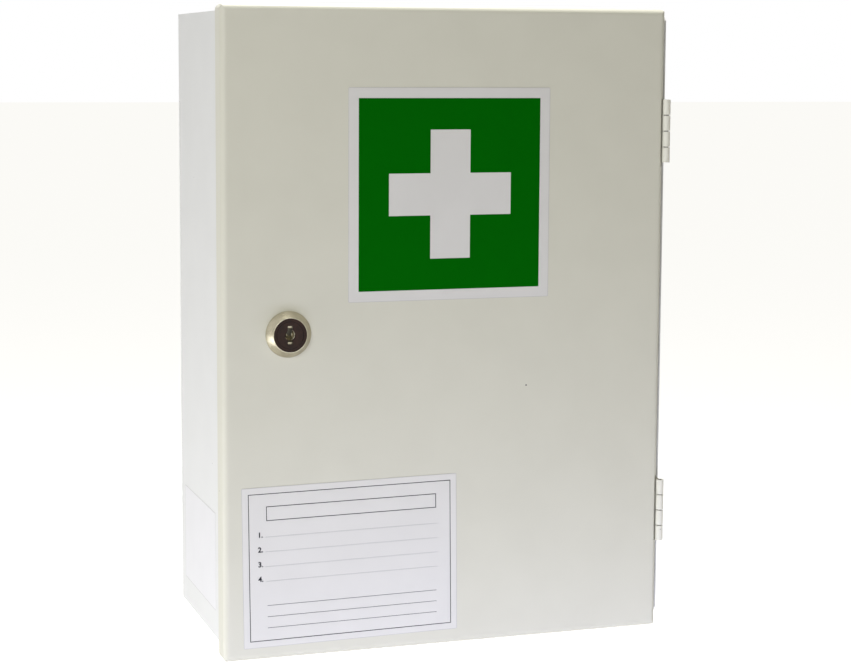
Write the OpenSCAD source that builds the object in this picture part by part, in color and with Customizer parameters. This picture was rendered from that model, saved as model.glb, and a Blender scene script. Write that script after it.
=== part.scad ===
// Lockable steel medicine cabinet for a wall.
// Origin: middle of the body's back face. +Z is up, the door faces -Y, the hinges are on +X.
// All lengths are in millimetres.

/* [Body] */
// Width over the two side walls
body_w = 289; // [220:1:420]
// Height over the top and bottom panels
body_h = 389; // [300:1:600]
// Depth from the back face to the door's face
cabinet_d = 140; // [110:1:220]
// Thickness of the body's sheet steel
body_sheet = 1; // [0.8:0.1:1.5]
// Outer radius of the body's folds
body_bend_r = 2.5; // [2:0.1:4]
// Width of the lip at the left of the body's front
lip_w = 14; // [12:1:22]
// Width of the flanges round the top and bottom panels
weld_flange = 14; // [8:1:20]

/* [Door] */
// Thickness of the door's sheet steel
door_sheet = 1; // [0.8:0.1:1.5]
// Outer radius of the folds round the door's face
door_bend_r = 4.2; // [2.4:0.1:5]
// Radius that the door's corners are ground to
door_corner_r = 4; // [3:0.5:8]
// Width of the open seam at each folded corner
corner_seam = 0.5; // [0.2:0.1:1]
// Depth of the door's returns, from its face
door_return = 14; // [12:0.5:22]
// Width of the fold behind the left return
door_hem = 13; // [8:0.5:20]
// How far the door stands out past the left wall
over_left = 3; // [1:0.5:8]
// How far the door stands above the body
over_top = 4; // [1:0.5:12]
// How far the door hangs below the body
over_bottom = 7; // [1:0.5:12]
// Gap between the door's returns and the body's lip
door_gap = 1.2; // [0.8:0.1:3]

/* [Hinges] */
// Height of each hinge
hinge_h = 40; // [30:1:60]
// Distance from the end of the door to the hinge
hinge_from_end = 57; // [40:1:90]
// Number of knuckles on each hinge
knuckles = 4; // [4:2:6]
// Outer diameter of the knuckles
knuckle_d = 5; // [4.6:0.1:6]
// Gap between one knuckle and the next
knuckle_gap = 0.5; // [0.3:0.1:1]
// Diameter of the hinge pin
pin_d = 3; // [2:0.1:3]
// Running clearance round the pin, on the radius
pin_clear = 0.05; // [0.02:0.01:0.1]
// Thickness of the hinge leaves
leaf_t = 1; // [0.8:0.1:1.2]
// Reach of each leaf behind the pin
leaf_reach = 12; // [7:0.5:12.5]
// Clearance between a knuckle and what it turns past
knuckle_clear = 0.3; // [0.2:0.1:0.8]
// Gap between the two closed leaves
leaf_gap = 0.5; // [0.3:0.1:1]
// Distance of the pin behind the door's face
pin_depth = 0.6; // [0.2:0.1:4]
// Distance of the pin beyond the door's right side
pin_side = 1.5; // [1.3:0.05:2.5]
// Width of the door's notch at each hinge, from the door's right side
notch_w = 2.2; // [1.6:0.1:4]
// Extra length of the door's notch past the hinge, towards the middle
notch_extra = 2.5; // [0.5:0.1:5]
// Distance of the right wall's front edge behind the door's face
wall_front_depth = 8; // [7.6:0.1:12]
// Chamfer at the ends of the right wall's front edge
wall_chamfer = 3; // [1:0.5:6]

/* [Lock] */
// Distance of the lock from the door's left side
lock_from_left = 41; // [36:0.5:60]
// Height of the lock above the door's lower edge
lock_up = 201.5; // [150:0.5:300]
// Diameter of the conical head
lock_head_d = 28.5; // [26:0.5:32]
// Diameter of the flat rim at the top of the cone
lock_rim_d = 21.2; // [21:0.1:22]
// How far the head stands out of the door
lock_head_h = 5.5; // [4:0.1:7]
// Height of the straight edge under the cone
lock_edge_h = 0.6; // [0.3:0.1:1]
// Diameter of the threaded shank
shank_d = 19; // [18:0.5:20]
// Width over the shank's two flats
shank_flats = 16; // [15:0.5:17]
// Pitch of the shank's thread
thread_pitch = 1; // [0.8:0.1:1.5]
// Depth of the shank's thread
thread_depth = 0.5; // [0.3:0.1:0.7]
// Diameter of the dark ring in the head
face_ring_d = 20.6; // [19.6:0.1:20.8]
// Thickness of the dark ring
face_ring_t = 1.2; // [0.8:0.1:2]
// Diameter of the turning disc inside the dark ring
face_disc_d = 16.6; // [16:0.1:17]
// Thickness of the turning disc
face_disc_t = 1.6; // [1.2:0.1:2.5]
// How far the ring and the disc lie below the rim
face_recess = 0.4; // [0.2:0.1:0.8]
// Diameter of the round key opening
key_hole_d = 6.2; // [5.6:0.1:8]
// Width of the key slot
key_slot_w = 3; // [2.4:0.1:3.4]
// Height of the key slot in the disc
key_slot_h = 11.2; // [9:0.1:12]
// Diameter of the turning plug
plug_d = 13; // [12:0.1:13.5]
// Running clearance round the plug and the disc, on the radius
plug_clear = 0.08; // [0.03:0.01:0.1]
// Height of the keyway in the plug
keyway_h = 8.6; // [7:0.1:9]
// Depth of the keyway, from the plug's front
keyway_depth = 16; // [12:0.5:18]
// Depth of the conical lead-in round the keyway
lead_in = 1.6; // [1:0.1:2]
// Diameter at the bottom of the conical lead-in
lead_in_d = 3.6; // [3:0.1:5]
// Thickness of the washer behind the door
lock_washer_t = 1.2; // [0.8:0.1:2]
// Diameter of that washer, without its teeth
lock_washer_d = 23; // [22:0.5:26]
// How far the washer's teeth stand out
washer_tooth_h = 1; // [0.5:0.1:1.5]
// Width of each tooth of the washer
washer_tooth_w = 2.6; // [1.5:0.1:3.5]
// Number of teeth on the washer
washer_teeth = 12; // [8:1:16]
// Thickness of the lock's nut
lock_nut_t = 4; // [3:0.1:5]
// Width over the nut's flats
lock_nut_af = 24; // [23:0.5:27]

/* [Cam] */
// Thickness of the cam
cam_t = 2.5; // [2:0.1:3]
// Width of the cam's arm
cam_w = 14; // [12:0.5:18]
// Diameter of the cam's hub
cam_hub_d = 18; // [18:0.5:22]
// How far the turned cam reaches behind the lip
cam_hold = 7; // [4:0.5:9]
// Gap between the body's lip and the cam
cam_gap = 0.8; // [0.5:0.1:2]
// Running clearance between the lock's shank and the cam
cam_clear = 0.15; // [0.1:0.05:0.3]
// Width of the square that drives the cam
cam_square = 7; // [6:0.1:8]
// How far the square stops short of the cam's rear face
square_short = 0.2; // [0.1:0.1:0.5]
// Diameter of the cam's screw
cam_screw_d = 5; // [4:0.5:5]
// Length of the cam's screw under its head
cam_screw_l = 9; // [7:0.5:10]
// Height of the screw's hexagon head
cam_screw_head_h = 3.5; // [3:0.1:4]
// Width over the flats of the screw's head
cam_screw_af = 8; // [7:0.5:10]
// Diameter of the washer under the screw's head
cam_washer_d = 12; // [11:0.5:14]
// Thickness of the washer under the screw's head
cam_washer_t = 1; // [0.8:0.1:1.6]

/* [Shelves] */
// Depth of the shelves
shelf_d = 104; // [70:1:106]
// Thickness of the shelves' sheet steel
shelf_sheet = 0.8; // [0.6:0.1:1.2]
// Height of the shelves' turned-down edges
shelf_edge = 10; // [8:0.5:16]
// Outer radius of the shelves' folds
shelf_bend_r = 1.8; // [1.4:0.1:3]
// Gap between a shelf and the walls beside it
shelf_gap = 1; // [0.5:0.1:2]
// Distance of the shelf brackets from the shelf's front and back edges
bracket_inset = 14; // [8:1:14]
// Length of each shelf bracket, from front to back
bracket_l = 16; // [10:1:20]
// Width and height of each shelf bracket
bracket_w = 10; // [8:0.5:14]
// Thickness of the brackets
bracket_t = 1.2; // [1:0.1:2]

/* [Wall fixing] */
// Distance between the wall holes, from left to right
hole_span_x = 200; // [120:5:200]
// Distance between the wall holes, from top to bottom
hole_span_z = 300; // [180:5:300]
// Diameter of the wall holes
wall_hole_d = 7; // [5:0.5:9]

/* [Rubber stops] */
// Diameter of the rubber stops
buffer_d = 7; // [5:0.5:8]
// Gap between a rubber stop and the closed door
buffer_gap = 0.1; // [0.05:0.05:0.3]
// Distance of each rubber stop from the end of the body
buffer_from_end = 40; // [25:1:80]

/* [Labels] */
// Thickness of the label films
film_t = 0.2; // [0.1:0.05:0.4]
// Thickness of the print on them
ink_t = 0.06; // [0.04:0.01:0.1]
// Side of the green square
sign_square = 118; // [80:1:180]
// White margin round the green square
sign_margin = 6.5; // [3:0.5:12]
// Width of the white cross's arms
cross_arm = 26; // [16:0.5:40]
// Width and height over the white cross
cross_span = 79.5; // [50:0.5:110]
// Height of the sign's middle above the door's lower edge
sign_up = 285; // [260:1:330]
// Width of the form's border
form_w = 130; // [90:1:190]
// Height of the form's border
form_h = 92; // [60:1:120]
// White margin round the form's border
form_margin = 4; // [2:0.5:8]
// How far the form is stuck on askew, in degrees
form_tilt = 0.7; // [-1.5:0.1:1.5]
// Distance of the form's border from the door's left side
form_from_left = 16; // [10:0.5:30]
// Height of the form's border above the door's lower edge
form_up = 12.8; // [10:0.1:30]
// Thickness of the form's border line
form_line = 0.5; // [0.3:0.1:1]
// Number of writing lines on the form
form_rows = 4; // [2:1:5]
// Distance from one writing line to the next
form_row_pitch = 9.2; // [6:0.1:10]
// Distance from the top of the border to the first writing line
form_first_row = 27; // [20:0.5:34]
// Distance of the writing lines from the border's left side
form_row_left = 11.2; // [8:0.1:20]
// Distance of the writing lines from the border's right side
form_row_right = 9.5; // [4:0.5:20]
// Thickness of each writing line
form_rule = 0.3; // [0.2:0.05:0.6]
// Width of the side label, from front to back
side_label_w = 92; // [60:1:100]
// Height of the side label
side_label_h = 62; // [40:1:100]
// Distance of the side label from the back face
side_label_from_back = 14; // [10:1:24]
// Height of the side label's lower edge above the body's
side_label_up = 17; // [10:1:60]

/* [Hidden] */
$fn = 48;
// How far a cutting shape runs past what it cuts
cut = 1;
// Spaces that the two shelves divide the inside into
compartments = 3;

// Colours
body_paint = "whitesmoke";
door_paint = "gainsboro";
nickel = "darkkhaki";
zinc = "silver";
dark_brown = "#2a211d";
film_white = "#eceaf2";

// Across the hinge side, from the door outwards: the door's leaf, the gap and the body's leaf
// fill the space between the door's right return and the right wall.
hinge_space = 2 * leaf_t + leaf_gap;
wall_out = hinge_space + body_sheet;

// Outlines
body_x0 = -body_w / 2;
body_x1 = body_w / 2;
body_z0 = -body_h / 2;
body_z1 = body_h / 2;
door_x0 = body_x0 - over_left;
door_x1 = body_x1 - wall_out;
door_z0 = body_z0 - over_bottom;
door_z1 = body_z1 + over_top;
door_w = door_x1 - door_x0;
door_h = door_z1 - door_z0;

// Planes from front to back
face_y = -cabinet_d;
door_inner_y = face_y + door_sheet;
door_rear_y = face_y + door_return;
lip_y = door_rear_y + door_gap;
lip_rear_y = lip_y + body_sheet;
wall_front_y = face_y + wall_front_depth;

// Inside of the shell
in_x0 = body_x0 + body_sheet;
in_x1 = body_x1 - body_sheet;
in_w = in_x1 - in_x0;
in_back_y = -body_sheet;
in_h = body_h - 2 * body_sheet;
body_front_d = -lip_y;

// Hinge
pin_x = door_x1 + pin_side;
pin_y = face_y + pin_depth;
knuckle_l = (hinge_h - (knuckles - 1) * knuckle_gap) / knuckles;
upper_hinge_z = door_z1 - hinge_from_end - hinge_h;
lower_hinge_z = door_z0 + hinge_from_end;

// Lock
lock_x = door_x0 + lock_from_left;
lock_z = door_z0 + lock_up;
rim_y = face_y - lock_head_h;
ring_y = rim_y + face_recess;
plug_front_y = ring_y + face_disc_t;
nut_rear_y = door_inner_y + lock_washer_t + lock_nut_t;
cam_y = lip_rear_y + cam_gap;
cam_rear_y = cam_y + cam_t;
shank_rear_y = cam_y - cam_clear;
square_rear_y = cam_rear_y - square_short;
cam_reach = lock_from_left - over_left - lip_w + cam_hold;

// Labels on the door: the middles of the sign and of the form
sign_x = (door_x0 + door_x1) / 2;
sign_z = door_z0 + sign_up;
form_x = door_x0 + form_from_left + form_w / 2;
form_z = door_z0 + form_up + form_h / 2;

// Shelves
shelf_y0 = in_back_y - shelf_d;
shelf_half = in_h / compartments / 2;

// ---------- shared shapes ----------

// A rectangle with round corners, from its lower left corner.
module round_rect(w, h, r) {
    translate([r, 0]) square([w - 2 * r, h]);
    translate([0, r]) square([w, h - 2 * r]);
    for (x = [r, w - r], y = [r, h - r]) translate([x, y]) circle(r = r);
}

// A channel's cross-section that opens towards +Y: a w wide web and two legs of depth d.
module channel(w, d, r) {
    union() {
        translate([r, 0]) square([w - 2 * r, d]);
        translate([0, r]) square([w, d - r]);
        for (x = [r, w - r]) translate([x, r]) circle(r = r);
    }
}

// The solid inside a folded pan's outer faces: web on the XY plane, legs towards +Z.
module pan_form(w, l, d, r) {
    intersection() {
        translate([0, l, 0]) rotate([90, 0, 0]) linear_extrude(l) channel(w, d, r);
        rotate([90, 0, 90]) linear_extrude(w) channel(l, d, r);
    }
}

// A pan folded from one sheet, with ground corners and an open seam at each corner.
// The seam opens where the fold has begun to turn away from the face.
module folded_pan(w, l, d, t, r, corner_r, seam) {
    seam_z = t + r / 4;
    difference() {
        intersection() {
            pan_form(w, l, d, r);
            linear_extrude(d) round_rect(w, l, corner_r);
        }
        translate([t, t, t]) pan_form(w - 2 * t, l - 2 * t, d, r - t);
        for (x = [0, 1], y = [0, 1])
            translate([x * w, y * l, 0]) mirror([x, 0, 0]) mirror([0, y, 0])
                rotate([0, 0, 45]) translate([0, -seam / 2, seam_z]) cube([r * sqrt(2), seam, d]);
    }
}

// Stands a shape drawn on XY with its depth along +Z upright, facing -Y.
module upright() {
    rotate([90, 0, 0]) mirror([0, 0, 1]) children();
}

// Puts a shape that is drawn along +Z on the lock's axis, running from plane y into the cabinet.
module on_lock(y) {
    translate([lock_x, y, lock_z]) rotate([-90, 0, 0]) children();
}

// The shank's outline with its two flats.
module flatted(d, flats) {
    intersection() {
        circle(d = d);
        square([d + cut, flats], center = true);
    }
}

// A hexagon by its width over flats.
module hexagon(af) {
    circle(d = af / cos(30), $fn = 6);
}

// ---------- fixed body ----------

module shell_profile(with_lip) {
    d = body_front_d;
    difference() {
        union() {
            translate([body_x0, lip_y]) round_rect(body_w, d, body_bend_r);
            translate([body_x1 - body_bend_r, lip_y]) square([body_bend_r, d / 2]);
            if (!with_lip) translate([body_x0, lip_y]) square([body_bend_r, d / 2]);
        }
        translate([in_x0, lip_rear_y])
            round_rect(in_w, d - 2 * body_sheet, body_bend_r - body_sheet);
        translate([in_x1 - body_bend_r, lip_y - cut]) square([body_bend_r, d / 2]);
        if (with_lip)
            translate([body_x0 + lip_w, lip_y - cut])
                square([in_x1 - body_x0 - lip_w, body_bend_r + cut]);
        else
            translate([in_x0, lip_y - cut]) square([in_w, d / 2]);
    }
}

module body_shell() {
    lip_h = body_h - 2 * weld_flange;
    color(body_paint) difference() {
        union() {
            translate([0, 0, body_z0]) linear_extrude(weld_flange) shell_profile(false);
            translate([0, 0, -lip_h / 2]) linear_extrude(lip_h) shell_profile(true);
            translate([0, 0, body_z1 - weld_flange]) linear_extrude(weld_flange) shell_profile(false);
            // The right wall runs on beside the door, and carries the hinges.
            translate([in_x1, 0, 0]) rotate([90, 0, 90]) linear_extrude(body_sheet)
                polygon([
                    [lip_rear_y, body_z0], [wall_front_y + wall_chamfer, body_z0],
                    [wall_front_y, body_z0 + wall_chamfer], [wall_front_y, body_z1 - wall_chamfer],
                    [wall_front_y + wall_chamfer, body_z1], [lip_rear_y, body_z1]
                ]);
        }
        for (x = [-1, 1], z = [-1, 1])
            translate([x * hole_span_x / 2, cut, z * hole_span_z / 2]) rotate([90, 0, 0])
                cylinder(d = wall_hole_d, h = body_sheet + 2 * cut);
    }
}

// Top and bottom: pans let in between the walls, with their legs turned inwards.
module end_panel() {
    l = body_front_d - body_sheet;
    translate([in_x0, lip_y, 0])
        folded_pan(in_w, l, weld_flange, body_sheet, body_bend_r, body_bend_r, corner_seam);
}

module top_panel() {
    color(body_paint) translate([0, 0, body_z1]) mirror([0, 0, 1]) end_panel();
}

module bottom_panel() {
    color(body_paint) translate([0, 0, body_z0]) end_panel();
}

module shelf() {
    w = in_w - 2 * shelf_gap;
    color(body_paint) mirror([0, 0, 1]) translate([in_x0 + shelf_gap, shelf_y0, 0])
        folded_pan(w, shelf_d, shelf_edge, shelf_sheet, shelf_bend_r, shelf_bend_r, corner_seam);
}

module upper_shelf() {
    translate([0, 0, shelf_half]) shelf();
}

module lower_shelf() {
    translate([0, 0, -shelf_half]) shelf();
}

// Four small angles under a shelf's side edges.
module shelf_brackets() {
    color(zinc)
        for (side = [0, 1], y = [shelf_y0 + bracket_inset, in_back_y - bracket_inset - bracket_l])
            mirror([side, 0, 0]) translate([in_x0, y, -shelf_edge])
                rotate([-90, 0, 0]) linear_extrude(bracket_l) union() {
                    square([bracket_w, bracket_t]);
                    square([bracket_t, bracket_w]);
                }
}

module upper_shelf_brackets() {
    translate([0, 0, shelf_half]) shelf_brackets();
}

module lower_shelf_brackets() {
    translate([0, 0, -shelf_half]) shelf_brackets();
}

module door_buffers() {
    buffer_t = door_gap - buffer_gap;
    x = body_x0 + body_bend_r + buffer_d / 2;
    color("dimgray")
        for (z = [body_z0 + buffer_from_end, body_z1 - buffer_from_end])
            translate([x, lip_y, z]) rotate([90, 0, 0]) cylinder(d = buffer_d, h = buffer_t);
}

module side_label() {
    color(film_white)
        translate([body_x0 - film_t, -side_label_from_back - side_label_w, body_z0 + side_label_up])
            cube([film_t, side_label_w, side_label_h]);
}

// ---------- hinges ----------

// One leaf with its knuckles, from the hinge's lower end. first is its lowest knuckle,
// and leaf_x the leaf's left face from the pin's axis.
module hinge_leaf(first, leaf_x) {
    plate_y = knuckle_d / 2 + knuckle_clear;
    color(door_paint) translate([pin_x, pin_y, 0]) difference() {
        union() {
            translate([leaf_x, plate_y, 0]) cube([leaf_t, leaf_reach - plate_y, hinge_h]);
            for (i = [first : 2 : knuckles - 1])
                translate([0, 0, i * (knuckle_l + knuckle_gap)]) {
                    cylinder(d = knuckle_d, h = knuckle_l);
                    translate([leaf_x, 0, 0]) cube([leaf_t, plate_y + leaf_t, knuckle_l]);
                }
        }
        translate([0, 0, -cut]) cylinder(r = pin_d / 2 + pin_clear, h = hinge_h + 2 * cut);
    }
}

// The body's leaf lies against the right wall and has the first knuckle from the top.
module body_leaf() {
    hinge_leaf(1, in_x1 - leaf_t - pin_x);
}

// The door's leaf lies against the door's right return.
module door_leaf() {
    hinge_leaf(0, door_x1 - pin_x);
}

module hinge_pin() {
    color(zinc) translate([pin_x, pin_y, 0]) cylinder(d = pin_d, h = hinge_h);
}

module upper_hinge_body_leaf() {
    translate([0, 0, upper_hinge_z]) body_leaf();
}

module lower_hinge_body_leaf() {
    translate([0, 0, lower_hinge_z]) body_leaf();
}

module upper_hinge_door_leaf() {
    translate([0, 0, upper_hinge_z]) door_leaf();
}

module lower_hinge_door_leaf() {
    translate([0, 0, lower_hinge_z]) door_leaf();
}

module upper_hinge_pin() {
    translate([0, 0, upper_hinge_z]) hinge_pin();
}

module lower_hinge_pin() {
    translate([0, 0, lower_hinge_z]) hinge_pin();
}

// ---------- door ----------

// The cut in the door's right fold that lets the knuckles through. below is how far it runs
// on under the hinge, and above how far over it.
module hinge_notch(z, below, above) {
    r = knuckle_d / 2 + knuckle_clear;
    translate([door_x1 - notch_w, face_y - cut, z - below])
        cube([notch_w + cut, pin_depth + cut + r, hinge_h + below + above]);
}

module door_panel() {
    hem_h = door_h - 2 * (door_bend_r + door_sheet);
    hem_z = (door_z0 + door_z1 - hem_h) / 2;
    color(door_paint) difference() {
        union() {
            translate([door_x0, face_y, door_z0]) upright() folded_pan(
                door_w, door_h, door_return, door_sheet, door_bend_r, door_corner_r, corner_seam);
            translate([door_x0, door_rear_y - door_sheet, hem_z]) cube([door_hem, door_sheet, hem_h]);
        }
        hinge_notch(upper_hinge_z, notch_extra, knuckle_clear);
        hinge_notch(lower_hinge_z, knuckle_clear, notch_extra);
        on_lock(face_y - cut) linear_extrude(door_sheet + 2 * cut)
            flatted(shank_d + 2 * pin_clear, shank_flats + 2 * pin_clear);
    }
}

// Puts a flat shape that is drawn round its middle on the door's face, t thick, with its
// middle at x, z and its back on plane y.
module on_door(x, y, z, t) {
    translate([x, y, z]) rotate([90, 0, 0]) linear_extrude(t) children();
}

module sign_label() {
    side = sign_square + 2 * sign_margin;
    color(film_white) on_door(sign_x, face_y, sign_z, film_t) square(side, center = true);
}

// The printed square, open where the cross stays white.
module sign_green_print() {
    color("forestgreen") on_door(sign_x, face_y - film_t, sign_z, ink_t) difference() {
        square(sign_square, center = true);
        square([cross_arm, cross_span], center = true);
        square([cross_span, cross_arm], center = true);
    }
}

module form_label() {
    color(film_white) on_door(form_x, face_y, form_z, film_t) rotate(form_tilt)
        square([form_w + 2 * form_margin, form_h + 2 * form_margin], center = true);
}

module form_print() {
    row_l = form_w - form_row_left - form_row_right;
    color("dimgray") on_door(form_x, face_y - film_t, form_z, ink_t) rotate(form_tilt) {
        difference() {
            square([form_w, form_h], center = true);
            square([form_w - 2 * form_line, form_h - 2 * form_line], center = true);
        }
        for (row = [0 : form_rows - 1])
            translate([form_row_left - form_w / 2, form_h / 2 - form_first_row - row * form_row_pitch])
                square([row_l, form_rule]);
    }
}

// ---------- lock ----------

module thread_profile(r, l) {
    turns = floor(l / thread_pitch);
    polygon(concat(
        [[0, 0], [r - thread_depth, 0]],
        [for (i = [0 : turns - 1], k = [0, 1])
            [k == 0 ? r : r - thread_depth, (i + (k + 1) / 2) * thread_pitch]],
        [[r - thread_depth, l], [0, l]]
    ));
}

module lock_housing() {
    head_r = lock_head_d / 2;
    rim_r = lock_rim_d / 2;
    shank_l = shank_rear_y - face_y;
    cone_h = lock_head_h - lock_edge_h;
    ring_seat = face_recess + max(face_ring_t, face_disc_t);
    color(nickel) on_lock(face_y) difference() {
        union() {
            translate([0, 0, -lock_edge_h]) cylinder(r = head_r, h = lock_edge_h);
            translate([0, 0, -lock_head_h]) cylinder(r1 = rim_r, r2 = head_r, h = cone_h);
            intersection() {
                rotate_extrude() thread_profile(shank_d / 2, shank_l);
                linear_extrude(shank_l) square([shank_d + cut, shank_flats], center = true);
            }
        }
        translate([0, 0, -lock_head_h - cut]) {
            cylinder(d = face_ring_d, h = cut + face_recess + face_ring_t);
            cylinder(r = face_disc_d / 2 + plug_clear, h = cut + ring_seat);
            cylinder(r = plug_d / 2 + plug_clear, h = lock_head_h + shank_l + 2 * cut);
        }
    }
}

module lock_face_ring() {
    color(dark_brown) on_lock(ring_y) difference() {
        cylinder(d = face_ring_d, h = face_ring_t);
        translate([0, 0, -cut]) cylinder(r = face_disc_d / 2 + plug_clear, h = face_ring_t + 2 * cut);
    }
}

// A washer with teeth round its edge.
module lock_washer() {
    r = lock_washer_d / 2;
    color(zinc) on_lock(door_inner_y) linear_extrude(lock_washer_t) difference() {
        union() {
            circle(r);
            for (i = [0 : washer_teeth - 1]) rotate(i * 360 / washer_teeth)
                translate([r - washer_tooth_h, -washer_tooth_w / 2])
                    square([2 * washer_tooth_h, washer_tooth_w]);
        }
        circle(r = shank_d / 2 + pin_clear);
    }
}

module lock_nut() {
    color(zinc) on_lock(door_inner_y + lock_washer_t) difference() {
        linear_extrude(lock_nut_t) hexagon(lock_nut_af);
        translate([0, 0, -cut]) cylinder(r = shank_d / 2 + pin_clear, h = lock_nut_t + 2 * cut);
    }
}

module key_opening() {
    circle(d = key_hole_d);
    square([key_slot_w, key_slot_h], center = true);
}

module lock_face_disc() {
    color(dark_brown) on_lock(ring_y) linear_extrude(face_disc_t) difference() {
        circle(d = face_disc_d);
        key_opening();
    }
}

module lock_plug() {
    body_l = cam_y - plug_front_y;
    square_l = square_rear_y - cam_y;
    color(nickel) on_lock(plug_front_y) difference() {
        union() {
            cylinder(d = plug_d, h = body_l);
            linear_extrude(body_l + square_l) square(cam_square, center = true);
        }
        cylinder(d1 = key_hole_d, d2 = lead_in_d, h = lead_in);
        translate([0, 0, -cut]) linear_extrude(keyway_depth + cut)
            square([key_slot_w, keyway_h], center = true);
        translate([0, 0, body_l + square_l + square_short - cam_screw_l])
            cylinder(r = cam_screw_d / 2 + pin_clear, h = cam_screw_l + cut);
    }
}

module lock_cam() {
    color(zinc) on_lock(cam_y) linear_extrude(cam_t) difference() {
        union() {
            circle(d = cam_hub_d);
            translate([0, cam_reach - cam_w / 2]) circle(d = cam_w);
            translate([-cam_w / 2, 0]) square([cam_w, cam_reach - cam_w / 2]);
        }
        square(cam_square + 2 * pin_clear, center = true);
    }
}

module cam_washer() {
    color(zinc) on_lock(cam_rear_y) difference() {
        cylinder(d = cam_washer_d, h = cam_washer_t);
        translate([0, 0, -cut]) cylinder(r = cam_screw_d / 2 + pin_clear, h = cam_washer_t + 2 * cut);
    }
}

module cam_screw() {
    color(zinc) on_lock(cam_rear_y + cam_washer_t) union() {
        linear_extrude(cam_screw_head_h) hexagon(cam_screw_af);
        translate([0, 0, -cam_screw_l])
            cylinder(d = cam_screw_d, h = cam_screw_l + cam_screw_head_h / 2);
    }
}

body_shell();
top_panel();
bottom_panel();
upper_shelf();
lower_shelf();
upper_shelf_brackets();
lower_shelf_brackets();
upper_hinge_body_leaf();
lower_hinge_body_leaf();
upper_hinge_pin();
lower_hinge_pin();
door_buffers();
side_label();
door_panel();
upper_hinge_door_leaf();
lower_hinge_door_leaf();
sign_label();
sign_green_print();
form_label();
form_print();
lock_housing();
lock_face_ring();
lock_washer();
lock_nut();
lock_face_disc();
lock_plug();
lock_cam();
cam_washer();
cam_screw();
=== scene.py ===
"""Dresses a wall-hung steel medicine cabinet: its paint, hinges, lock, labels, light and camera."""

import math

import bmesh
import bpy
from mathutils import Matrix, Vector


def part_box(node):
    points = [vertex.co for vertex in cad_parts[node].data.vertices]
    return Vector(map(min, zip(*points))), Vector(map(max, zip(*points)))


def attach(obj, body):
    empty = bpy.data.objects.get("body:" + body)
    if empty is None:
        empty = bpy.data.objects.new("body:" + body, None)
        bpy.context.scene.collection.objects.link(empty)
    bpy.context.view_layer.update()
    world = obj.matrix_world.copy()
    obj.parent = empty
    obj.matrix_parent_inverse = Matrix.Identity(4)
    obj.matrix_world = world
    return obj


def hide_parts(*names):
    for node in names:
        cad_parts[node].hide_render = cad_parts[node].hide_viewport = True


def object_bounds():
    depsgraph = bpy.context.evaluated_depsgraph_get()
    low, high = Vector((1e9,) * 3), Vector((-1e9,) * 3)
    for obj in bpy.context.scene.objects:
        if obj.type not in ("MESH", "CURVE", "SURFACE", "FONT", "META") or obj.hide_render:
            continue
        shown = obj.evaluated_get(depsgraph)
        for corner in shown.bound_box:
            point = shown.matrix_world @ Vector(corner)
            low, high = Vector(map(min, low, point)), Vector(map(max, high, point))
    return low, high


bl_info = {
    "name": "Medicine Cabinet",
    "version": (1, 0, 0),
    "blender": (4, 5, 0),
    "location": "3D View > Sidebar > Cabinet",
    "description": "Dresses the construction model of a lockable steel medicine cabinet",
    "category": "Object",
}

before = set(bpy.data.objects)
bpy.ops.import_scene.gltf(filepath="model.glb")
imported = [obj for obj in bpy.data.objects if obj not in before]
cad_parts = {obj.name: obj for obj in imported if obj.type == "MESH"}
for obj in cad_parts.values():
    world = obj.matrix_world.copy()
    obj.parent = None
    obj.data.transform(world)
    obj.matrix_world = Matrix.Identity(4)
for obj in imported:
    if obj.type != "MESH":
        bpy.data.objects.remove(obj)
CAD_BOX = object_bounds()

MM = 0.001
MERGE = 0.001 * MM
FLAT_ANGLE = math.radians(0.5)
SHARP_ANGLE = math.radians(28)
BEVEL_STEPS = 2
TURN = 2 * math.pi


# ---------- small helpers ----------


def linear(hex_colour):
    """An sRGB hex value as linear red, green, blue and alpha."""
    parts = [int(hex_colour[i : i + 2], 16) / 255 for i in (1, 3, 5)]
    curve = [c / 12.92 if c <= 0.04045 else ((c + 0.055) / 1.055) ** 2.4 for c in parts]
    return (*curve, 1.0)


def darker(colour, steps):
    """A linear colour, some of sRGB's 255 steps darker."""
    curve = [c * 12.92 if c <= 0.0031308 else 1.055 * c ** (1 / 2.4) - 0.055 for c in colour]
    return linear("#" + "".join(f"{max(0, round(c * 255) - steps):02x}" for c in curve))


def middle(node):
    """The middle of a CAD node's box."""
    low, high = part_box(node)
    return (low + high) / 2


def piece(name, bm, body, finishes, stands_for=()):
    """Makes an object of a bmesh, with its materials, and lets it ride on its body."""
    mesh = bpy.data.meshes.new(name)
    bm.to_mesh(mesh)
    bm.free()
    if "custom_normal" in mesh.attributes:
        mesh.attributes.remove(mesh.attributes["custom_normal"])
    mesh.shade_smooth()
    mesh.set_sharp_from_angle(angle=SHARP_ANGLE)
    for finish in finishes:
        mesh.materials.append(finish)
    made = bpy.data.objects.new(name, mesh)
    bpy.context.scene.collection.objects.link(made)
    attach(made, body)
    if stands_for:
        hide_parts(*stands_for)
    return made


def even_shading(made):
    """Keeps flat faces flat beside their softened edges."""
    shading = made.modifiers.new("even shading", "WEIGHTED_NORMAL")
    shading.keep_sharp = True
    shading.weight = 100


def merged_copy(node):
    """A bmesh of a CAD node, with its triangles merged into whole faces."""
    bm = bmesh.new()
    bm.from_mesh(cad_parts[node].data)
    bmesh.ops.remove_doubles(bm, verts=bm.verts, dist=MERGE)
    bmesh.ops.dissolve_limit(bm, angle_limit=FLAT_ANGLE, verts=bm.verts, edges=bm.edges)
    for face in bm.faces:
        face.material_index = 0
    return bm


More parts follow.
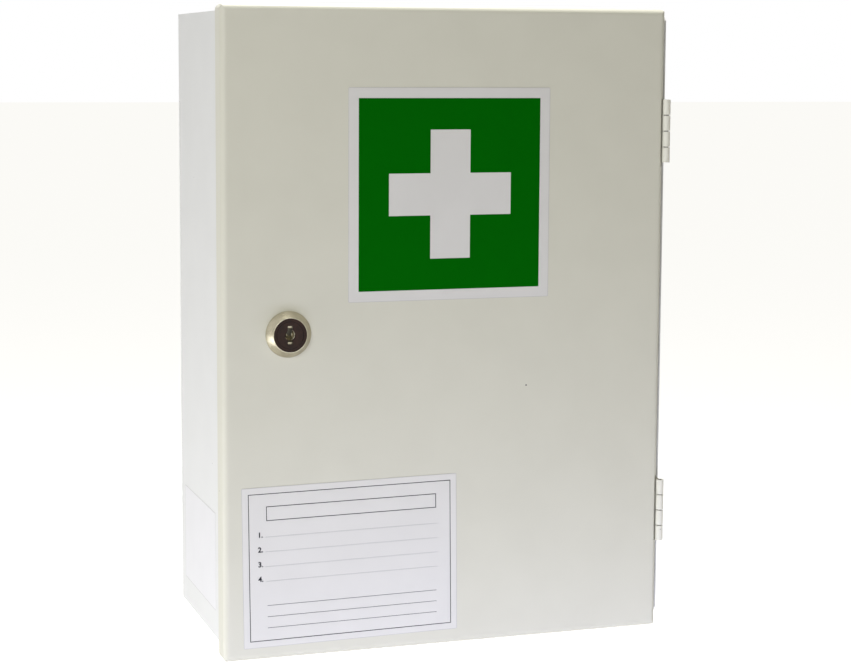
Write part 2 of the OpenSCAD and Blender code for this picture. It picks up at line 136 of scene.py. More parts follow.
def soften(bm, width, where=None):
    """Rounds the sharp edges of a bmesh, or those that where allows."""
    sharp = [e for e in bm.edges if e.is_manifold and e.calc_face_angle(0) > SHARP_ANGLE]
    if where:
        sharp = [e for e in sharp if where(e)]
    bmesh.ops.bevel(
        bm, geom=sharp, offset=width, offset_type="OFFSET", segments=BEVEL_STEPS, profile=0.5,
        affect="EDGES", clamp_overlap=True, material=-1,
    )


def smooth_copy(node, name, body, finish, width, where=None):
    """A CAD node's own shape with softened edges, in its finish."""
    bm = merged_copy(node)
    soften(bm, width, where)
    even_shading(piece(name, bm, body, [finish], [node]))


def block(bm, low, high):
    """Adds a closed block between two corners."""
    low, high = Vector(low), Vector(high)
    place = Matrix.Translation((low + high) / 2) @ Matrix.Diagonal((*(high - low), 1))
    bmesh.ops.create_cube(bm, size=1, matrix=place)


def turned(bm, profile, centre, axis, steps):
    """Turns a profile of (distance along the axis, radius) points into a closed solid."""
    axis = Vector(axis)
    out = axis.orthogonal().normalized()
    points = [bm.verts.new(Vector(centre) + axis * a + out * r) for a, r in profile]
    edges = [bm.edges.new(pair) for pair in zip(points, points[1:])]
    bmesh.ops.spin(
        bm, geom=points + edges, cent=centre, axis=axis, dvec=(0, 0, 0), angle=TURN,
        steps=steps, use_merge=True,
    )
    bmesh.ops.remove_doubles(bm, verts=bm.verts, dist=MERGE)
    bmesh.ops.recalc_face_normals(bm, faces=bm.faces)


# ---------- materials ----------


def add(tree, kind, sockets=None, **settings):
    """Adds one node with its settings, and gives its sockets their values or links."""
    node = tree.nodes.new(kind)
    for name, value in settings.items():
        setattr(node, name, value)
    for name, value in (sockets or {}).items():
        if isinstance(value, bpy.types.NodeSocket):
            tree.links.new(value, node.inputs[name])
        else:
            node.inputs[name].default_value = value
    return node


def blank(name, roughness, ior=1.5, metallic=0.0):
    """A new material with only its shader, and where its patterns read their places."""
    made = bpy.data.materials.new(name)
    made.use_nodes = True
    tree = made.node_tree
    shader = tree.nodes["Principled BSDF"]
    shader.inputs["Roughness"].default_value = roughness
    shader.inputs["Metallic"].default_value = metallic
    if not metallic:
        shader.inputs["IOR"].default_value = ior
    place = add(tree, "ShaderNodeTexCoord").outputs["Object"]
    return made, tree, shader, place


# Most of a noise pattern lies between these two values.
NOISE_LOW = 0.35
NOISE_HIGH = 0.65


def mottled(tree, place, size, first, second):
    """A colour that drifts between two shades in patches of one size in metres."""
    noise = add(tree, "ShaderNodeTexNoise", {"Vector": place, "Scale": 1 / size, "Detail": 2.0})
    spread = add(
        tree, "ShaderNodeMapRange",
        {"Value": noise.outputs["Fac"], "From Min": NOISE_LOW, "From Max": NOISE_HIGH},
    )
    return add(
        tree, "ShaderNodeMix", {0: spread.outputs[0], 6: first, 7: second}, data_type="RGBA"
    ).outputs[2]


def rippled(tree, place, size, height, below=None):
    """A bump of soft bumps of one size and height in metres, over another bump if given."""
    noise = add(tree, "ShaderNodeTexNoise", {"Vector": place, "Scale": 1 / size, "Detail": 1.0})
    sockets = {"Height": noise.outputs["Fac"], "Strength": 1.0, "Distance": height}
    if below:
        sockets["Normal"] = below
    return add(tree, "ShaderNodeBump", sockets).outputs["Normal"]


# The fine grains baked into the paint: how far apart they are, their rim and their dark core as
# shares of that, how much of the paint they cover there, and their colour.
GRAIN_SPACING = 26 * MM
GRAIN_RIM = 0.02
GRAIN_CORE = 0.012
GRAIN_COVER = 0.7
GRAIN_COLOUR = "#6f6a60"
CLOUD_STEPS = 2


def powder_coat(name, colour):
    """Polyester powder coat, sprayed and baked on sheet steel: semi-gloss, with a fine orange
    peel, faint clouds where the coat is thicker, and a few grains baked into it."""
    made, tree, shader, place = blank(name, roughness=0.42)
    dark = darker(colour, CLOUD_STEPS)
    cloud = mottled(tree, place, size=34 * MM, first=(*colour, 1.0), second=dark)
    grains = add(tree, "ShaderNodeTexVoronoi", {"Vector": place, "Scale": 1 / GRAIN_SPACING})
    near = add(
        tree, "ShaderNodeMapRange",
        {
            "Value": grains.outputs["Distance"],
            "From Min": GRAIN_RIM, "From Max": GRAIN_CORE, "To Max": GRAIN_COVER,
        },
    )
    dotted = add(
        tree, "ShaderNodeMix",
        {0: near.outputs[0], 6: cloud, 7: linear(GRAIN_COLOUR)}, data_type="RGBA",
    )
    tree.links.new(dotted.outputs[2], shader.inputs["Base Color"])
    wave = rippled(tree, place, size=60 * MM, height=0.12 * MM)
    peel = rippled(tree, place, size=1.3 * MM, height=0.004 * MM, below=wave)
    tree.links.new(peel, shader.inputs["Normal"])
    return made


def plated(name, light, dark, roughness):
    """Plated metal: its tone drifts a little, and fine marks break its shine."""
    made, tree, shader, place = blank(name, roughness=roughness, metallic=1.0)
    tone = mottled(tree, place, size=6 * MM, first=linear(light), second=linear(dark))
    tree.links.new(tone, shader.inputs["Base Color"])
    marks = rippled(tree, place, size=1.1 * MM, height=0.01 * MM)
    tree.links.new(marks, shader.inputs["Normal"])
    return made


def lathe_turned(name, light, dark, centre):
    """Nickel over a turned face, whose axis runs along Y through the centre: fine rings, which
    spread its shine into wedges, and a tone that drifts a little."""
    made, tree, shader, place = blank(name, roughness=0.26, metallic=1.0)
    tone = mottled(tree, place, size=6 * MM, first=linear(light), second=linear(dark))
    tree.links.new(tone, shader.inputs["Base Color"])
    shader.inputs["Anisotropic"].default_value = 0.8
    outward = add(tree, "ShaderNodeVectorMath", {0: place, 1: centre}, operation="SUBTRACT")
    along = add(
        tree, "ShaderNodeVectorMath", {0: (0, 1, 0), 1: outward.outputs[0]},
        operation="CROSS_PRODUCT",
    )
    turned_way = add(
        tree, "ShaderNodeVectorTransform", {"Vector": along.outputs[0]},
        vector_type="VECTOR", convert_from="OBJECT", convert_to="WORLD",
    )
    tree.links.new(turned_way.outputs[0], shader.inputs["Tangent"])
    marks = rippled(tree, place, size=0.7 * MM, height=0.004 * MM)
    tree.links.new(marks, shader.inputs["Normal"])
    return made


def film(name, light, dark, roughness):
    """Printed film: smooth, slightly glossy, with soft dents where it lies on the paint."""
    made, tree, shader, place = blank(name, roughness=roughness, ior=1.46)
    tone = mottled(tree, place, size=22 * MM, first=linear(light), second=linear(dark))
    tree.links.new(tone, shader.inputs["Base Color"])
    dents = rippled(tree, place, size=9 * MM, height=0.012 * MM)
    tree.links.new(dents, shader.inputs["Normal"])
    return made


def ink(name, light, dark):
    """Screen-printed ink: a dense, nearly even colour with almost no shine."""
    made, tree, shader, place = blank(name, roughness=0.6)
    shader.inputs["Specular IOR Level"].default_value = 0.02
    tone = mottled(tree, place, size=15 * MM, first=linear(light), second=linear(dark))
    tree.links.new(tone, shader.inputs["Base Color"])
    dents = rippled(tree, place, size=9 * MM, height=0.012 * MM)
    tree.links.new(dents, shader.inputs["Normal"])
    return made


def moulded(name, light, dark, roughness, shine=0.5):
    """Moulded plastic or rubber: one colour with a trace of flow, and a fine skin."""
    made, tree, shader, place = blank(name, roughness=roughness)
    shader.inputs["Specular IOR Level"].default_value = shine
    tone = mottled(tree, place, size=5 * MM, first=linear(light), second=linear(dark))
    tree.links.new(tone, shader.inputs["Base Color"])
    skin = rippled(tree, place, size=0.8 * MM, height=0.006 * MM)
    tree.links.new(skin, shader.inputs["Normal"])
    return made


# The finishes whose colours aren't a buyer's choice. The paints are made with their pieces.
NICKEL = lathe_turned("turned_nickel_plate", "#bdb6a0", "#aea791", middle("lock_housing"))
# The pin's steel is darker than bare steel: painted shade, so that the gaps between the hinge
# knuckles read as dark shadow lines.
GAP_SHADE_PIN_STEEL = plated("pin_steel_darkened_as_gap_shade", "#3a3632", "#2b2825", roughness=0.45)
ZINC = plated("zinc_plated_steel", "#b4b6b8", "#9da0a3", roughness=0.38)
FACE_PLASTIC = moulded("dark_brown_phenolic", "#2f1b13", "#22130d", roughness=0.18, shine=0.25)
STOP_RUBBER = moulded("black_rubber", "#26262a", "#1c1c1f", roughness=0.8)
WHITE_FILM = film("white_vinyl_film", "#dcdad5", "#dad8d3", roughness=0.45)
FORM_FILM = film("white_paper_label", "#dfddd7", "#dddbd5", roughness=0.5)
SIDE_FILM = film("side_label_film", "#e6e5e5", "#e4e3e3", roughness=0.45)
# A darker shade of film, laid as a narrow rim along each label's edge.
FILM_RIM = film("vinyl_film_rim", "#c9c7c4", "#c2c0bd", roughness=0.6)
GREEN_INK = ink("green_screen_ink", "#006202", "#006102")
GREY_INK = ink("grey_screen_ink", "#222226", "#2a2a2e")


# ---------- the add-on's settings ----------


class CabinetColours(bpy.types.PropertyGroup):
    """Colours of the paints, as a buyer would choose them. The hinges' paint is a lighter copy of
    the door's, a painted highlight for the light the knuckles catch.
    """

    door_paint: bpy.props.FloatVectorProperty(
        name="Door paint", description="Colour of the door's powder coat",
        default=linear("#d7d5c5")[:3], min=0.0, max=1.0, subtype="COLOR",
    )
    # A lighter copy of the door's paint: painted highlight standing in for the light the proud
    # knuckles catch.
    hinge_paint_lightened_as_lit: bpy.props.FloatVectorProperty(
        name="Hinge paint", description="Colour of the hinges' powder coat",
        default=linear("#e9e7d9")[:3], min=0.0, max=1.0, subtype="COLOR",
    )
    body_paint: bpy.props.FloatVectorProperty(
        name="Body paint", description="Colour of the body's powder coat, inside and out",
        default=linear("#e2e2df")[:3], min=0.0, max=1.0, subtype="COLOR",
    )


class CabinetSizes(bpy.types.PropertyGroup):
    """Sizes of the finish, beyond the construction model's own."""

    sheet_edge: bpy.props.FloatProperty(
        name="Sheet edge", description="Radius of the painted edges of the sheet steel",
        default=0.22 * MM, unit="LENGTH",
    )
    metal_edge: bpy.props.FloatProperty(
        name="Metal edge", description="Radius of the edges of the plated parts",
        default=0.15 * MM, unit="LENGTH",
    )
    film_corner: bpy.props.FloatProperty(
        name="Film corner", description="Radius of the labels' corners",
        default=0.8 * MM, unit="LENGTH",
    )
    # The rim is a band of darker film colour along each label's edge.
    film_rim: bpy.props.FloatProperty(
        name="Film rim", description="Width of the dusty rim round each label",
        default=0.3 * MM, unit="LENGTH",
    )
    form_line: bpy.props.FloatProperty(
        name="Form line", description="Width of the form's border line",
        default=0.42 * MM, unit="LENGTH",
    )
    dot_pitch: bpy.props.FloatProperty(
        name="Dot pitch", description="Distance between the dots of a dotted line",
        default=1.537 * MM, unit="LENGTH",
    )
    dot_d: bpy.props.FloatProperty(
        name="Dot", description="Diameter of the dots of a dotted line",
        default=0.48 * MM, unit="LENGTH",
    )


class CabinetStage(bpy.types.PropertyGroup):
    """Where the camera and the floor are, and what the camera sees."""

    camera_place: bpy.props.FloatVectorProperty(
        name="Camera place", description="Where the camera stands",
        default=(-0.4105, -1.3150, 0.1631), unit="LENGTH",
    )
    camera_turn: bpy.props.FloatVectorProperty(
        name="Camera turn", description="Camera's pitch, roll and turn to the right",
        default=[math.radians(a) for a in (-6.392, 0.313, 18.426)], subtype="EULER",
    )
    lens: bpy.props.FloatProperty(
        name="Lens", description="Focal length for a picture 36 mm wide", default=85.29,
    )
    lens_rise: bpy.props.FloatProperty(
        name="Lens rise", description="Vertical shift of the picture", default=-0.0517,
    )
    floor_drop: bpy.props.FloatProperty(
        name="Floor drop", description="Distance of the floor below the cabinet",
        default=0.25, unit="LENGTH",
    )


# ---------- the pieces ----------


class CABINET_OT_shell(bpy.types.Operator):
    """Paint the fixed sheet-steel pieces and round their edges"""

    bl_idname = "cabinet.shell"
    bl_label = "Cabinet Shell"

    def execute(self, context):
        edge = context.scene.cabinet_sizes.sheet_edge
        paint = powder_coat("powder_coat_white", context.scene.cabinet_colours.body_paint)
        for node in (
            "body_shell", "top_panel", "bottom_panel", "upper_shelf", "lower_shelf",
            "upper_shelf_brackets", "lower_shelf_brackets",
        ):
            smooth_copy(node, f"painted_{node}", "cabinet", paint, edge)
        return {"FINISHED"}


# One larger dark speck, right of the middle and below it: its place, radii and height.
SPECK_X = 48.3 * MM
SPECK_Z = -38.1 * MM
SPECK_R = 0.5 * MM
SPECK_TOP_R = 0.35 * MM
SPECK_H = 0.08 * MM


class CABINET_OT_door(bpy.types.Operator):
    """Paint the door pan, round its edges and set one dark speck in its paint"""

    bl_idname = "cabinet.door"
    bl_label = "Door Pan"

    def execute(self, context):
        edge = context.scene.cabinet_sizes.sheet_edge
        paint = powder_coat("powder_coat_warm_grey", context.scene.cabinet_colours.door_paint)
        smooth_copy("door_panel", "painted_door_panel", "door", paint, edge)
        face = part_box("door_panel")[0].y
        speck = bmesh.new()
        profile = [(0, 0), (0, SPECK_R), (SPECK_H, SPECK_TOP_R), (SPECK_H, 0)]
        turned(speck, profile, (SPECK_X, face, SPECK_Z), (0, -1, 0), steps=12)
        piece("speck_in_the_paint", speck, "door", [STOP_RUBBER])
        return {"FINISHED"}


class CABINET_OT_hinges(bpy.types.Operator):
    """Roll the hinges' knuckles round their pins and paint them"""

    bl_idname = "cabinet.hinges"
    bl_label = "Hinges"

    def execute(self, context):
        edge = context.scene.cabinet_sizes.metal_edge
        # Painted highlight: the hinges' paint is lighter than the door's, standing in for the light
        # on the knuckles.
        paint = powder_coat("powder_coat_hinges_lightened_as_lit", context.scene.cabinet_colours.hinge_paint_lightened_as_lit)
        for end in ("upper", "lower"):
            pin = middle(f"{end}_hinge_pin")
            for side, body, first in (("body", "cabinet", 1), ("door", "door", 0)):
                node = f"{end}_hinge_{side}_leaf"
                name = f"{end}_hinge_rolled_{side}_leaf"
                bm = rolled_leaf(node, pin, first)
                soften(bm, edge)
                even_shading(piece(name, bm, body, [paint], [node]))
            hinge_pin(f"{end}_hinge_pin", pin)
        return {"FINISHED"}


# A hinge: its knuckles and the gap between two of them, the roll's radius, thickness and turn,
# the leaf's thickness, how far behind the pin the flat leaf begins, and the pin's crowned ends.
KNUCKLES = 4
KNUCKLE_GAP = 0.5 * MM
KNUCKLE_R = 2.5 * MM
ROLL_T = 0.95 * MM
ROLL_TURN = math.radians(292)
ROLL_STEPS = 26
LEAF_T = 1.0 * MM
KNUCKLE_TAIL = 3.4 * MM
PIN_CROWN = 0.5 * MM


def rolled_leaf(node, pin, first):
    """A hinge leaf: a flat plate whose front edge is cut into tongues rolled round the pin. Its
    lowest knuckle is the first one, and it has every second one above that."""
    low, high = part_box(node)
    height = high.z - low.z
    knuckle_l = (height - (KNUCKLES - 1) * KNUCKLE_GAP) / KNUCKLES
    plate_x = leaf_plane(node, pin)
    bend = Vector((plate_x - LEAF_T / 2, KNUCKLE_TAIL))
    # The tongue leaves the plate on a straight line that touches the roll's left side.
    lean = math.asin(KNUCKLE_R / bend.length)
    touch_angle = math.atan2(bend.y, bend.x) + (math.pi / 2 - lean)
    bm = bmesh.new()
    for index in range(first, KNUCKLES, 2):
        foot = low.z + index * (knuckle_l + KNUCKLE_GAP)
        start = Vector((math.cos(touch_angle), math.sin(touch_angle))) * KNUCKLE_R
        tip = bm.verts.new((pin.x + start.x, pin.y + start.y, foot))
        root = bm.verts.new((pin.x + bend.x, pin.y + bend.y, foot))
        tail = bm.verts.new((pin.x + bend.x, pin.y + KNUCKLE_TAIL + LEAF_T, foot))
        bm.edges.new((tip, root))
        bm.edges.new((root, tail))
        bmesh.ops.spin(
            bm, geom=[tip], cent=(pin.x, pin.y, foot), axis=(0, 0, 1),
            angle=ROLL_TURN, steps=ROLL_STEPS,
        )
        edges = [
            e for e in bm.edges if not e.link_faces and abs(e.verts[0].co.z - foot) < MERGE
        ]
        wall = bmesh.ops.extrude_edge_only(bm, edges=edges)
        top = [v for v in wall["geom"] if isinstance(v, bmesh.types.BMVert)]
        bmesh.ops.translate(bm, verts=top, vec=(0, 0, knuckle_l))
    bmesh.ops.remove_doubles(bm, verts=bm.verts, dist=MERGE)
    bmesh.ops.recalc_face_normals(bm, faces=bm.faces)
    bmesh.ops.solidify(bm, geom=bm.faces[:], thickness=ROLL_T)
    bmesh.ops.recalc_face_normals(bm, faces=bm.faces)
    block(
        bm, (pin.x + plate_x - LEAF_T / 2, pin.y + KNUCKLE_TAIL, low.z),
        (pin.x + plate_x + LEAF_T / 2, high.y, high.z),
    )
    return bm


def leaf_plane(node, pin):
    """How far a leaf's plate lies to the right of the pin, read off the CAD node."""
    corners = [v.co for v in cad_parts[node].data.vertices]
    rear = max(corner.y for corner in corners)
    plate = [corner.x for corner in corners if corner.y > rear - MERGE]
    return (min(plate) + max(plate)) / 2 - pin.x


def hinge_pin(node, pin):
    """A pin with crowned ends, in steel darkened as painted shade for the gaps between the
    knuckles.
    """
    low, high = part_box(node)
    radius = (high.x - low.x) / 2
    half = (high.z - low.z) / 2
    crowned = radius - PIN_CROWN
    profile = [
        (-half, 0), (-half, crowned), (-half + PIN_CROWN, radius),
        (half - PIN_CROWN, radius), (half, crowned), (half, 0),
    ]
    bm = bmesh.new()
    turned(bm, profile, pin, (0, 0, 1), steps=32)
    piece(f"{node}_crowned", bm, "cabinet", [GAP_SHADE_PIN_STEEL], [node])


# The edges of the lock's head and face, and of its plug, as shares of the plated parts' edge.
HEAD_EDGE = 1.6
PLUG_EDGE = 0.5


class CABINET_OT_lock(bpy.types.Operator):
    """Finish the lock: head, face, plug, fixings and cam"""

    bl_idname = "cabinet.lock"
    bl_label = "Cam Lock"

    def execute(self, context):
        edge = context.scene.cabinet_sizes.metal_edge
        door_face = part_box("door_panel")[0].y

        def in_head(bmesh_edge):
            return all(v.co.y < door_face + MERGE for v in bmesh_edge.verts)

        smooth_copy(
            "lock_housing", "lock_housing_nickel", "door", NICKEL, edge * HEAD_EDGE,
            where=in_head,
        )
        for node, body in (("lock_face_ring", "door"), ("lock_face_disc", "lock_core")):
            smooth_copy(
                node, f"{node}_moulded", body, FACE_PLASTIC, edge * HEAD_EDGE
            )
        smooth_copy(
            "lock_plug", "lock_plug_nickel", "lock_core", NICKEL, edge * PLUG_EDGE
        )
        for node, body in (
            ("lock_washer", "door"), ("lock_nut", "door"), ("lock_cam", "lock_core"),
            ("cam_washer", "lock_core"), ("cam_screw", "lock_core"),
        ):
            smooth_copy(node, f"{node}_plated", body, ZINC, edge)
        return {"FINISHED"}


# A stop's dome: its share of the stop's height, and its outline from foot to top, as the share
# of the dome's height still above and the share of the stop's radius.
STOP_DOME = 0.55
DOME_OUTLINE = ((1, 1), (1 / 3, 0.88), (0, 0.6))


class CABINET_OT_stops(bpy.types.Operator):
    """Turn the two domed rubber stops"""

    bl_idname = "cabinet.stops"
    bl_label = "Rubber Stops"

    def execute(self, context):
        node = "door_buffers"
        low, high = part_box(node)
        radius = (high.x - low.x) / 2
        height = high.y - low.y
        dome = [
            (height - height * STOP_DOME * above, radius * share) for above, share in DOME_OUTLINE
        ]
        profile = [(0, 0), (0, radius), *dome, (height, 0)]
        bm = bmesh.new()
        for z in (low.z + radius, high.z - radius):
            turned(bm, profile, ((low.x + high.x) / 2, high.y, z), (0, -1, 0), steps=40)
        piece("domed_door_stops", bm, "cabinet", [STOP_RUBBER], [node])
        return {"FINISHED"}


# Local X, Y and Z of a label, as seen by someone facing it: right, up and outwards.
ON_DOOR = Matrix(((1, 0, 0), (0, 0, -1), (0, 1, 0))).to_4x4()
ON_LEFT_WALL = Matrix(((0, 0, -1), (-1, 0, 0), (0, 1, 0))).to_4x4()
FORM_TILT = math.radians(0.7)


def label_frame(node, facing, tilt=0.0):
    """Where a label's own axes lie, and its width, height and thickness without its tilt."""
    low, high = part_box(node)
    outward = facing.to_3x3() @ Vector((0, 0, 1))
    base = (low + high) / 2 - outward * abs(outward.dot(high - low)) / 2
    wide = abs((facing.to_3x3() @ Vector((1, 0, 0))).dot(high - low))
    tall = high.z - low.z
    sine, cosine, double = abs(math.sin(tilt)), math.cos(tilt), math.cos(2 * tilt)
    width = (wide * cosine - tall * sine) / double
    height = (tall * cosine - wide * sine) / double
    place = Matrix.Translation(base) @ facing @ Matrix.Rotation(tilt, 4, "Z")
    return place, width, height, abs(outward.dot(high - low))


def film_label(name, node, body, facing, sizes, finish, tilt=0.0):
    """A label of thin film with round corners and a darker rim round its front."""
    place, width, height, thickness = label_frame(node, facing, tilt)
    bm = bmesh.new()
    bmesh.ops.create_grid(
        bm, x_segments=1, y_segments=1, size=0.5, matrix=Matrix.Diagonal((width, height, 1, 1))
    )
    bmesh.ops.bevel(
        bm, geom=bm.verts[:], offset=sizes.film_corner, offset_type="OFFSET", segments=5,
        profile=0.5, affect="VERTICES", material=-1,
    )
    raised = bmesh.ops.extrude_face_region(bm, geom=bm.faces[:])["geom"]
    bmesh.ops.translate(
        bm, verts=[v for v in raised if isinstance(v, bmesh.types.BMVert)], vec=(0, 0, thickness)
    )
    front = [f for f in raised if isinstance(f, bmesh.types.BMFace)]
    ring = bmesh.ops.inset_region(bm, faces=front, thickness=sizes.film_rim, use_even_offset=True)
    for face in ring["faces"]:
        face.material_index = 1
    bmesh.ops.recalc_face_normals(bm, faces=bm.faces)
    bm.transform(place)
    piece(name, bm, body, [finish, FILM_RIM], [node])


class CABINET_OT_labels(bpy.types.Operator):
    """Lay the three label films and the green print"""

    bl_idname = "cabinet.labels"
    bl_label = "Label Films"

    def execute(self, context):
        sizes = context.scene.cabinet_sizes
        film_label("sign_film", "sign_label", "door", ON_DOOR, sizes, WHITE_FILM)
        film_label("form_film", "form_label", "door", ON_DOOR, sizes, FORM_FILM, FORM_TILT)
        film_label("side_film", "side_label", "cabinet", ON_LEFT_WALL, sizes, SIDE_FILM)
        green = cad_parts["sign_green_print"]
        green.data.materials.clear()
        green.data.materials.append(GREEN_INK)
        return {"FINISHED"}


# The form, from its border: the name field, the numbered rows and the note lines.
FORM_LEFT = 11.2 * MM
FORM_RIGHT = 9.5 * MM
FIELD_TOP = 8.0 * MM
FIELD_FOOT = 17.0 * MM
FORM_ROWS = 4
FORM_FIRST_ROW = 27.0 * MM
FORM_PITCH = 9.2 * MM
NUMERAL_LEFT = 5.7 * MM
NUMERAL_SIZE = 4.5 * MM
NUMERAL_WEIGHT = 0.14 * MM
NOTE_LINES = 3
NOTE_FOOT = 8.0 * MM
NOTE_PITCH = 7.0 * MM
# A note line's width, as a share of the border's.
NOTE_LINE = 0.6


class CABINET_OT_form(bpy.types.Operator):
    """Print the blank form: border, name field, dotted rows, their numbers and note lines"""

    bl_idname = "cabinet.form"
    bl_label = "Form Print"

    def execute(self, context):
        sizes = context.scene.cabinet_sizes
        place, width, height, ink_t = label_frame("form_print", ON_DOOR, FORM_TILT)
        left, right, top = -width / 2, width / 2, height / 2
        start, end = left + FORM_LEFT, right - FORM_RIGHT
        rows = [top - FORM_FIRST_ROW - row * FORM_PITCH for row in range(FORM_ROWS)]
        line = sizes.form_line
        bm = bmesh.new()
        ruled_frame(bm, (left, -top), (right, top), line, ink_t)
        ruled_frame(bm, (start, top - FIELD_FOOT), (end, top - FIELD_TOP), line, ink_t)
        for level in rows:
            dotted_line(bm, start, end, level, sizes, ink_t)
        for row in range(NOTE_LINES):
            level = -top + NOTE_FOOT + row * NOTE_PITCH
            block(bm, (start, level, 0), (end, level + line * NOTE_LINE, ink_t))
        bm.transform(place)
        piece("form_lines", bm, "door", [GREY_INK], ["form_print"])
        numbers = bmesh.new()
        for number, level in enumerate(rows, start=1):
            lettering(numbers, f"{number}.", left + NUMERAL_LEFT, level, ink_t)
        bmesh.ops.recalc_face_normals(numbers, faces=numbers.faces)
        numbers.transform(place)
        piece("form_row_numbers", numbers, "door", [GREY_INK], ["form_print"])
        return {"FINISHED"}


def ruled_frame(bm, low, high, line, ink_t):
    """A rectangle drawn with one line, as raised ink."""
    size = (high[0] - low[0], high[1] - low[1])
    centre = Matrix.Translation(((low[0] + high[0]) / 2, (low[1] + high[1]) / 2, 0))
    sheet = bmesh.ops.create_grid(
        bm, x_segments=1, y_segments=1, size=0.5, matrix=centre @ Matrix.Diagonal((*size, 1, 1))
    )
    inner = list({f for v in sheet["verts"] for f in v.link_faces})
    ring = bmesh.ops.inset_region(
        bm, faces=inner, thickness=line, use_even_offset=True, use_boundary=True
    )["faces"]
    bmesh.ops.delete(bm, geom=inner, context="FACES")
    raised = bmesh.ops.extrude_face_region(bm, geom=ring)["geom"]
    bmesh.ops.translate(
        bm, verts=[v for v in raised if isinstance(v, bmesh.types.BMVert)], vec=(0, 0, ink_t)
    )


def dotted_line(bm, start, end, level, sizes, ink_t):
    """A row of small round dots of ink."""
    count = round((end - start) / sizes.dot_pitch)
    for i in range(count + 1):
        at = Matrix.Translation((start + i * (end - start) / count, level, ink_t / 2))
        bmesh.ops.create_cone(
            bm, cap_ends=True, segments=8, radius1=sizes.dot_d / 2, radius2=sizes.dot_d / 2,
            depth=ink_t, matrix=at,
        )


def lettering(bm, words, x, y, ink_t):
    """Adds plain numerals, as raised ink, with their foot on y."""
    curve = bpy.data.curves.new("numeral", "FONT")
    curve.body = words
    curve.size = NUMERAL_SIZE
    curve.offset = NUMERAL_WEIGHT
    curve.extrude = ink_t / 2
    curve.resolution_u = 3
    holder = bpy.data.objects.new("numeral", curve)
    bpy.context.scene.collection.objects.link(holder)
    shown = holder.evaluated_get(bpy.context.evaluated_depsgraph_get())
    mesh = bpy.data.meshes.new_from_object(shown)
    mesh.transform(Matrix.Translation((x, y, ink_t / 2)))
    bm.from_mesh(mesh)
    bpy.data.objects.remove(holder)
    bpy.data.meshes.remove(mesh)
    bpy.data.curves.remove(curve)


class CABINET_OT_stage(bpy.types.Operator):
    """Set up the floor, the lamps, the surroundings and the camera"""

    bl_idname = "cabinet.stage"
    bl_label = "Stage"

    def execute(self, context):
        stage = context.scene.cabinet_stage
        floor(CAD_BOX[0].z - stage.floor_drop)
        surroundings(context.scene)
        lamps()
        camera(context.scene, stage)
        context.scene.view_settings.view_transform = "Standard"
        return {"FINISHED"}


# Every lamp: its middle, its width and height, its colour and its power in watts.
LAMPS = {
    "overhead_softbox": ((0.0, 0.14, 1.25), (0.6, 0.6), "#ffffff", 20.0),
    "table_bounce": ((0.02, -0.36, -0.31), (0.7, 0.1), "#d8dcff", 0.80),
    "left_bounce": ((-0.66, -0.12, -0.28), (0.5, 0.3), "#f3f5ff", 1.65),
    "window_softbox": ((-1.0, -1.5, 0.8), (0.8, 0.8), "#f8faff", 14.3),
}


def lamps():
    """Soft area lamps, all turned to the cabinet's middle."""
    target = (CAD_BOX[0] + CAD_BOX[1]) / 2
    for name, (place, (width, height), colour, power) in LAMPS.items():
        lamp = bpy.data.lights.new(name, "AREA")
        lamp.shape = "RECTANGLE"
        lamp.size = width
        lamp.size_y = height
        lamp.color = linear(colour)[:3]
        lamp.energy = power
        made = bpy.data.objects.new(name, lamp)
        made.visible_camera = False
        made.location = place
        made.rotation_mode = "QUATERNION"
        made.rotation_quaternion = (target - Vector(place)).to_track_quat("-Z", "Y")
        bpy.context.scene.collection.objects.link(made)


# The even light of the room.
AMBIENT = 0.187
AMBIENT_COLOUR = "#fff8db"


def seen_rays(tree):
    """1 on the rays that see the surroundings: from the camera, and off or through a surface."""
    rays = add(tree, "ShaderNodeLightPath")
    first = add(
        tree, "ShaderNodeMath",
        {0: rays.outputs["Is Camera Ray"], 1: rays.outputs["Is Glossy Ray"]}, operation="MAXIMUM",
    )
    return add(
        tree, "ShaderNodeMath",
        {0: first.outputs[0], 1: rays.outputs["Is Transmission Ray"]}, operation="MAXIMUM",
    ).outputs[0]


def surroundings(scene):
    """A plain pale room: white where it is seen, and a soft even light elsewhere."""
    world = bpy.data.worlds.new("pale_room")
    world.use_nodes = True
    scene.world = world
    tree = world.node_tree
    tree.nodes.clear()
    warm = linear(AMBIENT_COLOUR)
    light = add(tree, "ShaderNodeBackground", {"Color": warm, "Strength": AMBIENT})
    seen = add(tree, "ShaderNodeBackground", {"Color": (1, 1, 1, 1), "Strength": 1.0})
    mix = add(
        tree, "ShaderNodeMixShader",
        {0: seen_rays(tree), 1: light.outputs[0], 2: seen.outputs[0]},
    )
    add(tree, "ShaderNodeOutputWorld", {"Surface": mix.outputs[0]})


# The floor: half its width in metres, its matt colour, and what lifts it where it is seen.
FLOOR_HALF = 30
FLOOR_COLOUR = "#e8e8e8"
FLOOR_LIFT = "#e9e9e9"


def floor(height):
    """A plain matt floor, lifted to white for the rays that see it."""
    bm = bmesh.new()
    bmesh.ops.create_grid(
        bm, x_segments=1, y_segments=1, size=FLOOR_HALF,
        matrix=Matrix.Translation((0, 0, height)),
    )
    mesh = bpy.data.meshes.new("floor")
    bm.to_mesh(mesh)
    bm.free()
    made = bpy.data.objects.new("floor", mesh)
    bpy.context.scene.collection.objects.link(made)
    finish = bpy.data.materials.new("matt_white_floor")
    finish.use_nodes = True
    tree = finish.node_tree
    tree.nodes.clear()
    matt = add(tree, "ShaderNodeBsdfDiffuse", {"Color": linear(FLOOR_COLOUR)})
    lift = add(
        tree, "ShaderNodeEmission", {"Color": linear(FLOOR_LIFT), "Strength": seen_rays(tree)}
    )
    both = add(tree, "ShaderNodeAddShader", {0: matt.outputs[0], 1: lift.outputs[0]})
    add(tree, "ShaderNodeOutputMaterial", {"Surface": both.outputs[0]})
    mesh.materials.append(finish)


# The width in millimetres of the picture that the lens is given for.
SENSOR_WIDTH = 36.0


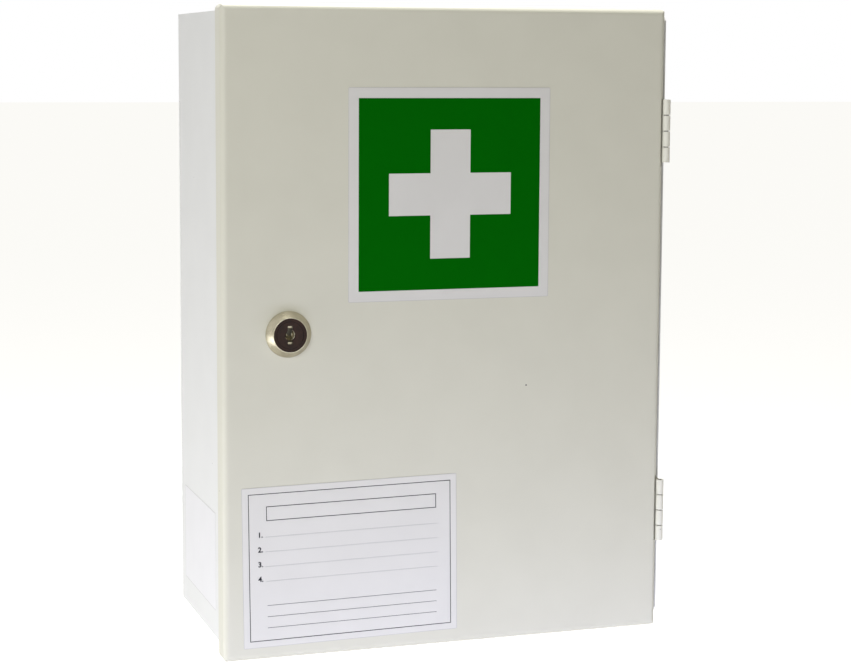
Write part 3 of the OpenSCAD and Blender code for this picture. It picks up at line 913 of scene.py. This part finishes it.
def camera(scene, stage):
    """The camera at the photograph's viewpoint."""
    data = bpy.data.cameras.new("camera")
    data.sensor_width = SENSOR_WIDTH
    data.lens = stage.lens
    data.shift_y = stage.lens_rise
    made = bpy.data.objects.new("camera", data)
    pitch, roll, turn = stage.camera_turn
    upright = math.pi / 2
    facing = (
        Matrix.Rotation(-turn, 4, "Z") @ Matrix.Rotation(upright + pitch, 4, "X")
        @ Matrix.Rotation(roll, 4, "Z")
    )
    made.matrix_world = Matrix.Translation(stage.camera_place) @ facing
    scene.collection.objects.link(made)
    scene.camera = made


# ---------- the panel and the run ----------

PIECES = (
    CABINET_OT_shell, CABINET_OT_door, CABINET_OT_hinges, CABINET_OT_lock, CABINET_OT_stops,
    CABINET_OT_labels, CABINET_OT_form, CABINET_OT_stage,
)


class CABINET_PT_panel(bpy.types.Panel):
    """Lists the cabinet's pieces and settings"""

    bl_label = "Medicine Cabinet"
    bl_idname = "CABINET_PT_panel"
    bl_space_type = "VIEW_3D"
    bl_region_type = "UI"
    bl_category = "Cabinet"

    def draw(self, context):
        for operator in PIECES:
            self.layout.operator(operator.bl_idname)
        scene = context.scene
        for settings in (scene.cabinet_colours, scene.cabinet_sizes, scene.cabinet_stage):
            box = self.layout.box()
            for name in settings.__annotations__:
                box.prop(settings, name)


CLASSES = (CabinetColours, CabinetSizes, CabinetStage, *PIECES, CABINET_PT_panel)


def register():
    for member in CLASSES:
        bpy.utils.register_class(member)
    bpy.types.Scene.cabinet_colours = bpy.props.PointerProperty(type=CabinetColours)
    bpy.types.Scene.cabinet_sizes = bpy.props.PointerProperty(type=CabinetSizes)
    bpy.types.Scene.cabinet_stage = bpy.props.PointerProperty(type=CabinetStage)


def unregister():
    del bpy.types.Scene.cabinet_stage
    del bpy.types.Scene.cabinet_sizes
    del bpy.types.Scene.cabinet_colours
    for member in reversed(CLASSES):
        bpy.utils.unregister_class(member)


def main():
    register()
    bpy.ops.cabinet.shell()
    bpy.ops.cabinet.door()
    bpy.ops.cabinet.hinges()
    bpy.ops.cabinet.lock()
    bpy.ops.cabinet.stops()
    bpy.ops.cabinet.labels()
    bpy.ops.cabinet.form()
    bpy.ops.cabinet.stage()


if __name__ == "__main__":
    main()
